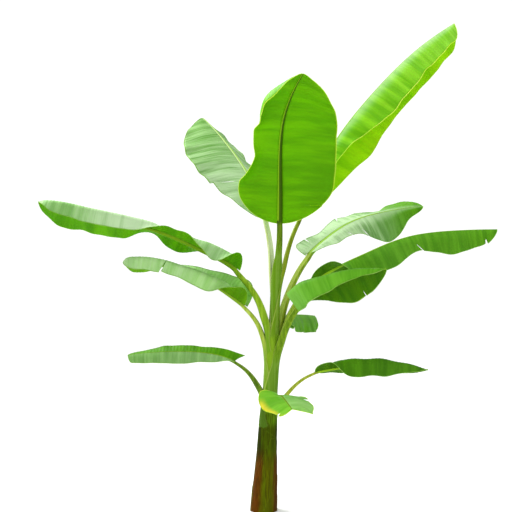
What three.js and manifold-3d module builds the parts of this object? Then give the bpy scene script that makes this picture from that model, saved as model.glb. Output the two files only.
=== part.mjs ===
// Banana plant, about 2.2 m tall: one leaning pseudostem, cut flat at the ground,
// and twelve leaves. Each leaf is a stalk (one tapering limb that grows out of the
// pseudostem) and a blade (a thin sheet folded along its rib).
// Millimetres, +Z up, +X to the right, -Y towards the front.
// The origin is the middle of the flat cut under the pseudostem.

import * as THREE from "three";
import { mergeVertices } from "three/addons/utils/BufferGeometryUtils.js";
import Module from "manifold-3d";

// ---------------------------------------------------------------- driving sizes

const GAP = 0.3;              // clear space between pieces that touch
const SHEET = 3;              // thickness of a blade away from its rib
const KEEL = 1.3;             // depth of the rib under the blade, in stalk radii
const VEIN_SWEEP = 0.05;      // how far forward the veins reach the margin, share of the blade
const VEIN_CURVE = 1.4;       // veins leave the rib square and bend forward later
const CURL_REACH = [0.1, 0.65]; // the curl happens between these shares of the way to the margin
const LOBE_REACH = 0.25;      // share of the blade whose margin may reach back past the base
const BEND_WIDTH = 30;        // halves narrower than this bend less
const FLAT_FACETS = 9;        // facets along a blade that doesn't turn
const TURN_FACET = 54;        // degrees of turning that ask for one more
const STEPS_ACROSS = 20;      // steps in which a half is bent, from rib to margin
const FLAT_COLUMNS = [0, 7, 14, 20]; // steps that become columns of corners
const ROLLED_COLUMNS = [0, 4, 8, 12, 20]; // the same for a half that flops over
const FLOP = 60;              // curl from which a half counts as flopping over
const STALK_STATIONS = 10;    // facets along a stalk
const STALK_SIDES = 8;
const STEM_SIDES = 18;

const STEM = {
  lean: 0.055,                // sideways millimetres per millimetre of height
  top: 860,
  // [height, radius]: root flare, long taper, fork among the stalks
  profile: [[0, 59], [60, 57], [140, 54], [268, 47], [367, 44.5], [424, 42],
            [470, 38], [550, 35], [680, 35], [760, 34], [860, 24]],
};

// One row per leaf, oldest first. Angles are in degrees. A list of angles or shares
// holds equally spaced values from the start of its part to its end, joined smoothly.
//   foot      height, azimuth and offset of the leaf's root inside the pseudostem
//   stalk     length from the root to the blade;  blade  length of the blade
//   pitch     rise above the level, along the stalk and along the blade
//   heading   compass direction seen from above, 0 = +X, 90 = +Y
//   width     half-widths left and right of the rib, looking towards the tip
//   fold      how far each half drops below the level of the rib; minus is raised
//   curl      how much further that half bends on its way to the margin
//   shape     share of the half-width, left and right
//   ends      share of the blade taken by its rounded base (0 is a square base) and by its tip
//   thick     stalk radius at the root, at the blade and at the tip
//   back      how far the base of each half reaches back past the end of the stalk
const LEAVES = [
  { name: "low_left", foot: [455, 180, 13], stalk: 268, blade: 495,
    pitch: [[84, 67, 48, 27], [24, 8, 0, -4, -8]], heading: [[180, 180, 178, 176], [176, 176]],
    width: [58, 52],
    shape: [[0.2, 0.75, 0.9, 1.1, 1, 0.9, 0.75], [0.95, 0.85, 0.8, 0.86, 0.82, 0.5, 0.4]],
    fold: [[30, 50, 50, 50, 45], [-60, -40, -36, -30, -10]], curl: [[20, 20], [0, 0]],
    ends: [0, 0.04], thick: [29, 9, 2.5], back: [0, 30] },
  { name: "low_right", foot: [430, -10, 24], stalk: 275, blade: 505,
    pitch: [[68, 55, 40, 20], [14, 9, 4, 1, -1, -4, -12]],
    heading: [[0, -4, -5, -5], [-5, -5, -5, -5]], width: [80, 108],
    shape: [[0.6, 1, 1, 0.8], [0.42, 0.55, 1.12, 1.38, 1.2, 1.32, 0.85, 0.7, 0.55]],
    fold: [[20, 20, 20, 20, 25, 30], [-62, -72, -75, -75, -75, -72, -60, -20]],
    curl: [[10, 10], [0, 60, 158, 170, 170, 168, 130, 40]], ends: [0.1, 0.3], thick: [18, 8, 2.5],
    back: [0, 0] },
  { name: "small_front", foot: [448, -72, 20], stalk: 172, blade: 125,
    pitch: [[62, 36, 0], [-6, -20, -28, -32]],
    heading: [[-72, -74, -74, -70], [-69, -66, -62, -58]], width: [142, 120],
    shape: [[0.5, 0.8, 1, 1], [0.85, 0.98, 0.78, 0.45]],
    fold: [[-8, -4, 0, 4], [-40, -15, 5, 20, 30]], curl: [[20, 20], [25, 25]], ends: [0.15, 0.1],
    thick: [15, 7, 2], back: [0, 0] },
  { name: "mid_right", foot: [580, -30, 20], stalk: 385, blade: 480,
    pitch: [[88, 77, 62, 47], [38, 32, 27.5, 24, 15, 4, -4]],
    heading: [[-30, -38, -40, -38], [-38, -38, -37, -36]], width: [110, 130],
    shape: [[0.1, 0.65, 1.2, 1.05, 0.75], [1.62, 1.62, 1.3, 0.95, 0.66, 0.45, 0.3]],
    fold: [[40, 58, 65, 60, 50], [-95, -84, -62, -42, -12, 30]],
    curl: [[10, 10], [190, 170, 155, 135, 85, 30]], ends: [0, 0.28], thick: [28, 13, 3],
    back: [0, -18] },
  { name: "mid_left", foot: [620, 180, 22], stalk: 337, blade: 590,
    pitch: [[92, 88, 75, 55, 41], [36, 34, 27, 20, 12, 5, 0]],
    heading: [[165, 170, 174, 176], [176, 178, 180]], width: [115, 100],
    shape: [[0.8, 1, 1.2, 1.1, 0.9, 0.95, 1, 0.95], [1.35, 0.95, 0.66, 0.7, 1, 1]],
    fold: [[-70, -75, -70, -65, -62, -68, -62, -50], [-80, -62, -55, -30, 0, 20, 20]],
    curl: [[0, 80, 160, 160, 150, 150, 130, 100], [10, 10]], ends: [0.12, 0.07],
    thick: [24, 11, 3], back: [8, 20] },
  { name: "mid_back", foot: [620, 85, 24], stalk: 342, blade: 445,
    pitch: [[84, 66, 38, 6], [3, -3, -4, -6]], heading: [[85, 79, 73, 70], [70, 68, 66, 65]],
    width: [110, 110], shape: [[1, 1], [0.9, 0.9]], fold: [[10, 20, 20, 20], [40, 50, 50, 40]],
    curl: [[30, 30], [30, 30]], ends: [0.3, 0.2], thick: [20, 9, 3], back: [0, 0] },
  { name: "long_right", foot: [660, 12, 20], stalk: 400, blade: 915,
    pitch: [[86, 75, 60, 42], [38, 29, 24, 24, 18, 9, 4, 2, 0]],
    heading: [[10, 6, 4, 6], [6, 6, 5, 3, 0]], width: [120, 130],
    shape: [[0.8, 0.9, 0.8, 1, 1], [0.4, 0.45, 0.9, 0.94, 0.95, 0.7, 0.85, 0.95, 0.72, 0.55]],
    fold: [[35, 40, 20, 20, 20], [-75, -65, 42, 50, 50, 45, 50, 50, 50, 45]],
    curl: [[20, 20], [20, 20]], ends: [0.1, 0.1], thick: [22, 11, 3], back: [0, 0] },
  { name: "long_left", foot: [655, -150, 6], stalk: 478, blade: 945,
    pitch: [[88, 87, 74, 54, 46], [36, 25, 25, 20.5, 14.5, 10.5, 12.5, 14.5, 12]],
    heading: [[190, 184, 180, 178], [178, 180, 180, 180, 180]], width: [110, 110],
    shape: [[0.7, 1.3, 1.3, 0.9, 0.42, 0.6, 0.97, 1.05, 1.1, 1.13, 1.08, 1.02, 1.05], [0.45,
      0.45, 0.6, 0.76, 0.86, 0.62, 0.6, 1, 1.18, 1.15, 1.15, 1.1, 1.05]],
    fold: [[-75, -80, -78, -68, -60, -75, -75, -75, -75, -75, -75, -70, -60], [-35, -35, 0, 38,
      40, 15, 40, 40, 36, 36, 40, 40, 40]],
    curl: [[0, 128, 122, 62, 0, 95, 158, 168, 168, 162, 155, 140, 90], [5, 5]],
    ends: [0.06, 0.14], thick: [38, 15, 3], back: [20, 0] },
  { name: "upper_right", foot: [700, 35, 22], stalk: 505, blade: 690,
    pitch: [[88, 79, 68, 57, 46], [40, 34, 30, 21, 14, 10, 8, 4]],
    heading: [[34, 32, 34, 34], [34, 30, 26, 22, 20]], width: [130, 140],
    shape: [[0.72, 0.44, 0.6, 0.68, 0.68, 0.85, 1.1], [0.2, 0.5, 0.5, 0.65, 1.15, 1.03, 0.52,
      0.45]], fold: [[-45, -40, -30, -20, -12, -25, -40], [-10, 15, 35, 45, 50, 45, 40]],
    curl: [[15, 15], [25, 25]], ends: [0.04, 0.28], thick: [24, 14.5, 3], back: [16, 0] },
  { name: "tall_right", foot: [760, 0, 16], stalk: 580, blade: 1142,
    pitch: [[88, 85, 77, 63], [63, 66, 64, 55, 50, 47, 43, 36.5, 31]],
    heading: [[30, 16, 8, 6], [6, 6, 6, 2, -2, -6]], width: [180, 180],
    shape: [[0.6, 0.6, 0.8, 1, 0.92, 0.87, 0.84, 0.76, 0.6], [0.4, 0.35, 0.4, 0.58, 0.85, 0.88,
      0.8, 0.68, 0.55]], fold: [[70, 80, 75, 68, 45], [20, 35, 42, 42, 42]],
    curl: [[10, 10], [15, 15]], ends: [0.2, 0.06], thick: [20, 12, 3], back: [0, 0] },
  { name: "tall_back", foot: [760, 80, 14], stalk: 560, blade: 715,
    pitch: [[89, 89, 85, 66], [66, 52, 44, 40, 34]],
    heading: [[100, 125, 127, 125], [125, 128, 130, 132]], width: [245, 180],
    shape: [[0.55, 0.78, 0.98, 0.93, 0.82], [1, 1]],
    fold: [[0, 0, 0, 5, 10], [46, 36, 28, 26, 26]], curl: [[20, 20], [0, 0]], ends: [0.35, 0.45],
    thick: [22, 12, 3], back: [0, 0] },
  { name: "tall_front", foot: [760, -60, 10], stalk: 530, blade: 760,
    pitch: [[87, 86, 86, 82], [82, 68, 54, 40, 30]],
    heading: [[0, -10, -60, -84], [-84, -92, -86, -72, -66]], width: [235, 180],
    shape: [[0.86, 1.04, 1.04, 1, 1], [1, 1.1, 1.02, 0.74, 0.66, 0.74, 1.05, 1.4, 1.5]],
    fold: [[-8, -8, -8, 0, 10], [-5, -15, -15, -10, 0]],
    curl: [[25, 25], [-10, -10, 0, 30, 35, 25]], ends: [0.22, 0.42], thick: [24, 13, 3],
    back: [0, 0] },
];

// ---------------------------------------------------------------- finishes

const finish = (color, roughness) =>
  new THREE.MeshStandardMaterial({ color, roughness, metalness: 0 });
const STEM_COLOR = 0x7a7a3c;
const STALK_COLOR = 0x86a83a;
const BLADE_COLOR = 0x5f9e3c;

// ---------------------------------------------------------------- leaf geometry

const rad = THREE.MathUtils.degToRad;
const clamp01 = (t) => Math.min(Math.max(t, 0), 1);

// 0 below low, 1 above high, with a soft start and end.
function smooth([low, high], x) {
  const t = clamp01((x - low) / (high - low));
  return t * t * (3 - 2 * t);
}

// Smooth curve through equally spaced keys, t from 0 to 1.
function keyed(keys, t) {
  const n = keys.length - 1;
  const at = clamp01(t) * n;
  const i = Math.min(Math.floor(at), n - 1);
  const f = at - i;
  const [p0, p1, p2, p3] = [keys[Math.max(i - 1, 0)], keys[i], keys[i + 1], keys[Math.min(i + 2, n)]];
  return p1 + 0.5 * f * (p2 - p0 + f * (2 * p0 - 5 * p1 + 4 * p2 - p3 + f * (3 * (p1 - p2) + p3 - p0)));
}

const stemCentre = (z) => new THREE.Vector3(STEM.lean * z, 0, z);

// The rib is one curve from the root to the tip of the blade: short steps in the
// direction that pitch and heading give.
class Leaf {
  constructor(row) {
    this.row = row;
    this.length = row.stalk + row.blade;
    this.split = row.stalk / this.length;
    const [z, azimuth, offset] = row.foot;
    const start = stemCentre(z);
    start.x += offset * Math.cos(rad(azimuth));
    start.y += offset * Math.sin(rad(azimuth));
    this.points = [start];
    const steps = 240;
    for (let k = 0; k < steps; k++) {
      const { along } = this.axes((k + 0.5) / steps);
      this.points.push(this.points[k].clone().addScaledVector(along, this.length / steps));
    }
  }

  angle(keys, t) {
    return t < this.split
      ? keyed(keys[0], t / this.split)
      : keyed(keys[1], (t - this.split) / (1 - this.split));
  }

  // Directions at share t of the rib: along it, up from its upper face, to its right.
  axes(t) {
    const pitch = rad(this.angle(this.row.pitch, t));
    const heading = rad(this.angle(this.row.heading, t));
    const [cp, sp, ch, sh] = [Math.cos(pitch), Math.sin(pitch), Math.cos(heading), Math.sin(heading)];
    const along = new THREE.Vector3(cp * ch, cp * sh, sp);
    const up = new THREE.Vector3(-sp * ch, -sp * sh, cp);
    return { along, up, right: along.clone().cross(up) };
  }

  rib(t) {
    const at = clamp01(t) * (this.points.length - 1);
    const i = Math.min(Math.floor(at), this.points.length - 2);
    return this.points[i].clone().lerp(this.points[i + 1], at - i);
  }

  radius(t) {
    const [root, base, tip] = this.row.thick;
    return t < this.split
      ? base + (root - base) * (1 - t / this.split) ** 1.6
      : base + (tip - base) * ((t - this.split) / (1 - this.split)) ** 0.9;
  }

  // Half-width at share s of the blade: rounded or square base, full middle, closing tip.
  halfWidth(s, side) {
    const [base, tip] = this.row.ends;
    const b = base ? clamp01(1 - s / base) : 0;
    const e = clamp01((s - (1 - tip)) / tip);
    const outline = (1 - b ** 2.2) ** 0.5 * (1 - e ** 2.4) ** 0.65;
    return this.row.width[side] * keyed(this.row.shape[side], s) * outline;
  }

  // Where the row that starts at share s reaches the margin.
  marginShare(s, side) {
    const lobe = (this.row.back[side] / this.row.blade) * clamp01(1 - s / LOBE_REACH) ** 2;
    return s + VEIN_SWEEP * Math.sin(Math.PI * s) - lobe;
  }

  // Turn of the half at the rib and at the margin of the row at share s.
  turns(s, side) {
    const { fold, curl } = this.row;
    const bend = clamp01(this.halfWidth(s, side) / BEND_WIDTH);
    return [keyed(fold[side], s), keyed(fold[side], s) + bend * keyed(curl[side], s)];
  }

  // Points and normals of the upper face along the row at share s, on one side
  // (0 left, 1 right). The row starts at the rib's edge at its fold angle, and is
  // walked in short steps that turn with the curl, so the sheet bends and never stretches.
  acrossRow(s, side) {
    const { fold, curl, blade } = this.row;
    const margin = this.marginShare(s, side);
    const t0 = this.split + s * (1 - this.split);
    const sweep = VEIN_SWEEP * Math.sin(Math.PI * s);
    const wide = this.halfWidth(s + sweep * clamp01(s / LOBE_REACH), side);
    const width = Math.max(wide, 1.6 * this.radius(t0));
    const bend = clamp01(width / BEND_WIDTH);
    const place = (u) => s + (margin - s) * u ** VEIN_CURVE;
    const turn = (u) => rad(keyed(fold[side], place(u))
      + bend * keyed(curl[side], place(u)) * smooth(CURL_REACH, u));
    const step = (width - 0.8 * this.radius(t0)) / STEPS_ACROSS;
    const row = [];
    let [across, drop] = [0, 0];
    for (let k = 0; k <= STEPS_ACROSS; k++) {
      const u = k / STEPS_ACROSS;
      if (k > 0) {
        const middle = (turn(u) + turn(u - 1 / STEPS_ACROSS)) / 2;
        across += step * Math.cos(middle);
        drop += step * Math.sin(middle);
      }
      const t = this.split + clamp01(place(u)) * (1 - this.split);
      const { along, up, right } = this.axes(t);
      const out = right.multiplyScalar(side === 0 ? -1 : 1);
      const point = this.rib(t)
        .addScaledVector(along, Math.min(place(u), 0) * blade)
        .addScaledVector(out, 0.8 * this.radius(t) + across)
        .addScaledVector(up, -drop);
      const normal = up.multiplyScalar(Math.cos(turn(u))).addScaledVector(out, Math.sin(turn(u)));
      row.push({ point, normal });
    }
    return row;
  }
}

// ---------------------------------------------------------------- solids

function solid(points, triangles) {
  const geometry = new THREE.BufferGeometry();
  geometry.setAttribute("position", new THREE.Float32BufferAttribute(points.flatMap((p) => p.toArray()), 3));
  geometry.setIndex(triangles.flat());
  return geometry;
}

// Closed skin over rings that all have the same number of points, with flat ends.
// Each ring runs anticlockwise seen from the far end of the row of rings.
function loft(rings) {
  const n = rings[0].length;
  const last = (rings.length - 1) * n;
  const triangles = [];
  for (let i = 0; i + 1 < rings.length; i++) {
    for (let j = 0; j < n; j++) {
      const a = i * n + j;
      const b = i * n + ((j + 1) % n);
      triangles.push([a, b, b + n], [a, b + n, a + n]);
    }
  }
  for (let j = 1; j + 1 < n; j++) {
    triangles.push([0, j + 1, j], [last, last + j, last + j + 1]);
  }
  return solid(rings.flat(), triangles);
}

// Closed skin around a sheet. Each row runs from the left margin to the right one,
// the rows run from base to tip, and each entry is the pair [upper, lower]. Both faces
// are cut along the same diagonals, so a twisted sheet keeps its thickness.
function sheet(rows) {
  const [lastRow, lastColumn] = [rows.length - 1, rows[0].length - 1];
  const upper = (i, j) => 2 * (i * (lastColumn + 1) + j);
  const lower = (i, j) => upper(i, j) + 1;
  const triangles = [];
  const quad = (a, b, c, d) => triangles.push([a, b, c], [a, c, d]);
  for (let i = 0; i < lastRow; i++) {
    for (let j = 0; j < lastColumn; j++) {
      quad(upper(i, j), upper(i, j + 1), upper(i + 1, j + 1), upper(i + 1, j));
      quad(lower(i + 1, j + 1), lower(i, j + 1), lower(i, j), lower(i + 1, j));
    }
    quad(upper(i, 0), upper(i + 1, 0), lower(i + 1, 0), lower(i, 0));
    quad(upper(i, lastColumn), lower(i, lastColumn), lower(i + 1, lastColumn), upper(i + 1, lastColumn));
  }
  for (let j = 0; j < lastColumn; j++) {
    quad(upper(0, j), lower(0, j), lower(0, j + 1), upper(0, j + 1));
    quad(upper(lastRow, j), upper(lastRow, j + 1), lower(lastRow, j + 1), lower(lastRow, j));
  }
  return solid(rows.flat(2), triangles);
}

function ring(centre, radius, across, up, sides) {
  return Array.from({ length: sides }, (_, k) => {
    const a = (2 * Math.PI * k) / sides;
    return centre.clone().addScaledVector(across, radius * Math.cos(a)).addScaledVector(up, radius * Math.sin(a));
  });
}

// Pseudostem, grown outwards by `extra`.
function stemSolid(extra = 0) {
  const east = new THREE.Vector3(1, 0, 0);
  const north = new THREE.Vector3(0, 1, 0);
  return loft(STEM.profile.map(([z, radius]) =>
    ring(stemCentre(z === STEM.top ? z + extra : z), radius + extra, east, north, STEM_SIDES)));
}

// Stalk from its root to the blade, grown outwards by `extra`. Its axis sinks from
// the rib's own line to the middle of the keel where the blade starts, and its last
// ring lies flat against the blade's first row.
function stalkSolid(leaf, extra = 0) {
  const end = leaf.split - (GAP - extra) / leaf.length;
  const rings = [];
  for (let k = 0; k < STALK_STATIONS; k++) {
    const share = k / (STALK_STATIONS - 1);
    const t = end * share;
    const { up, right } = leaf.axes(share < 1 ? t : leaf.split);
    const radius = leaf.radius(t);
    const centre = leaf.rib(t).addScaledVector(up, -0.5 * KEEL * radius * share);
    rings.push(ring(centre, radius + extra, right, up, STALK_SIDES));
  }
  return loft(rings.map((r) => r.reverse()));
}

// Shares of a blade at which its rows stand: closer where a half turns quickly, and
// a little closer towards both ends.
function rowShares(leaf) {
  const samples = 400;
  const turned = (s) => [...leaf.turns(s, 0), ...leaf.turns(s, 1)];
  const asked = [0];
  for (let k = 1; k <= samples; k++) {
    const before = turned((k - 1) / samples);
    const most = Math.max(...turned(k / samples).map((turn, i) => Math.abs(turn - before[i])));
    asked.push(asked[k - 1] + FLAT_FACETS / samples + most / TURN_FACET);
  }
  const facets = Math.ceil(asked[samples]);
  const shares = [];
  for (let i = 0; i <= facets; i++) {
    const even = i / facets;
    const wanted = asked[samples] * (0.6 * even + 0.4 * (0.5 - 0.5 * Math.cos(Math.PI * even)));
    const k = Math.min(Math.max(asked.findIndex((value) => value >= wanted - 1e-9), 1), samples);
    shares.push((k - 1 + (wanted - asked[k - 1]) / (asked[k] - asked[k - 1])) / samples);
  }
  return shares;
}

// Blade: a sheet of SHEET thickness with a keel along its rib. Halves that drop take
// their thickness upwards and halves that rise take it downwards, so the two never
// cross where they meet at the rib.
function bladeSolid(leaf) {
  const { fold, curl } = leaf.row;
  const columns = curl.map((list) => (Math.max(...list) > FLOP ? ROLLED_COLUMNS : FLAT_COLUMNS));
  const rows = [];
  for (const s of rowShares(leaf)) {
    const t = leaf.split + s * (1 - leaf.split);
    const meanFold = (keyed(fold[0], s) + keyed(fold[1], s)) / 2;
    const upward = SHEET * clamp01(0.5 + meanFold / 20);
    const half = (side) => {
      const row = leaf.acrossRow(s, side);
      return columns[side].map((k) => {
        const { point, normal } = row[k];
        return [point.clone().addScaledVector(normal, upward),
                point.clone().addScaledVector(normal, upward - SHEET)];
      });
    };
    const { up } = leaf.axes(t);
    const keel = SHEET + KEEL * leaf.radius(t) * Math.cos(rad(meanFold));
    const rib = [leaf.rib(t).addScaledVector(up, upward), leaf.rib(t).addScaledVector(up, upward - keel)];
    rows.push([...half(0).reverse(), rib, ...half(1)]);
  }
  return sheet(rows);
}

// ---------------------------------------------------------------- joining and cutting

const wasm = await Module();
wasm.setup();

function toManifold(geometry) {
  const welded = mergeVertices(geometry, 1e-4);
  return new wasm.Manifold(new wasm.Mesh({
    numProp: 3,
    vertProperties: new Float32Array(welded.attributes.position.array),
    triVerts: new Uint32Array(welded.index.array),
  }));
}

function toGeometry(manifold) {
  const mesh = manifold.getMesh();
  const geometry = new THREE.BufferGeometry();
  geometry.setAttribute("position", new THREE.Float32BufferAttribute(mesh.vertProperties, 3));
  geometry.setIndex(new THREE.Uint32BufferAttribute(mesh.triVerts, 1));
  return geometry;
}

// What is left of a piece after the cutters, without the crumbs they leave.
function trim(piece, cutters) {
  const parts = cutters.reduce((left, cutter) => left.subtract(cutter), piece).decompose();
  return parts.reduce((a, b) => (a.volume() > b.volume() ? a : b));
}

// ---------------------------------------------------------------- the plant

function plant() {
  const group = new THREE.Group();
  group.name = "banana_plant";
  const add = (name, geometry, material) => {
    const mesh = new THREE.Mesh(geometry.index ? geometry.toNonIndexed() : geometry, material);
    mesh.geometry.computeVertexNormals();
    mesh.name = name;
    group.add(mesh);
  };

  add("pseudostem", stemSolid(), finish(STEM_COLOR, 0.6));

  // A younger leaf grows inside the older ones, so each stalk stops at the
  // pseudostem and at every older stalk.
  const cutters = [toManifold(stemSolid(GAP))];
  for (const row of LEAVES) {
    const leaf = new Leaf(row);
    const stalk = trim(toManifold(stalkSolid(leaf)), cutters);
    add(`stalk_${row.name}`, toGeometry(stalk), finish(STALK_COLOR, 0.45));
    add(`blade_${row.name}`, bladeSolid(leaf), finish(BLADE_COLOR, 0.4));
    cutters.push(toManifold(stalkSolid(leaf, GAP)));
  }
  return group;
}

export default plant();
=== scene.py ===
# %% [markdown]
# # A banana plant
#
# A banana plant has no wood. What looks like its trunk is a pseudostem: leaf sheaths
# wrapped tightly round each other. Every sheath narrows into a grooved stalk, the
# stalk runs on as the rib of one huge leaf, and the blade hangs from both sides of
# the rib, crossed by straight veins, often torn along them by the wind.
#
# This notebook builds the looks of such a plant around a solid model that already
# has the right sizes. Everything is in metres, +Z up, with the origin in the middle
# of the flat cut at ground level.

# %% Load the solid model
import math

import bpy
import numpy as np
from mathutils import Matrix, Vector


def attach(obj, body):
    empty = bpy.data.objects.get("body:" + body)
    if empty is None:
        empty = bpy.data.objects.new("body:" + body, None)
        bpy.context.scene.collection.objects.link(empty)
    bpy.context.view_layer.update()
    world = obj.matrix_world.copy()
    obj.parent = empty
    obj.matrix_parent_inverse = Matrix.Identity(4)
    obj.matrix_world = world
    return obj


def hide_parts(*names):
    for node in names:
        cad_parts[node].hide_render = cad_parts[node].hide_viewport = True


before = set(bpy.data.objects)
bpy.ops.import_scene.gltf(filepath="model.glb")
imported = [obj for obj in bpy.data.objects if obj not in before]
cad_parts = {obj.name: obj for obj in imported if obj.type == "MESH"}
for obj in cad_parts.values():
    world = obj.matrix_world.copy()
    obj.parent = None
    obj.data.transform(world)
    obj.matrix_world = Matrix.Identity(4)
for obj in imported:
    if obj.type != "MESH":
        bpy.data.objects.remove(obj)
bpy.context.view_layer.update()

# %% [markdown]
# ## Sizes of the plant
#
# The solid model was made from a short table: where each leaf leaves the pseudostem,
# how long its stalk and blade are, how steeply they rise, and how the two halves of
# the blade fold down from the rib. Tracing the solids would give the same shapes, but
# repeating the table keeps the fine leaves exactly on the coarse ones and leaves every
# number open to change. Angles are in degrees, a list holds equally spaced values
# along its part of the leaf, one number holds all along, and shares run from 0 to 1.

# %% Pseudostem and leaves
STEM_LEAN = 0.055        # sideways metres per metre of height
STEM_TOP = 0.860
# height and radius: flare at the foot, long taper, fork among the stalks
STEM_PROFILE = [(0, 0.059), (0.060, 0.057), (0.140, 0.054), (0.268, 0.047), (0.367, 0.0445),
                (0.424, 0.042), (0.470, 0.038), (0.550, 0.035), (0.680, 0.035),
                (0.760, 0.034), (0.860, 0.024)]

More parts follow.
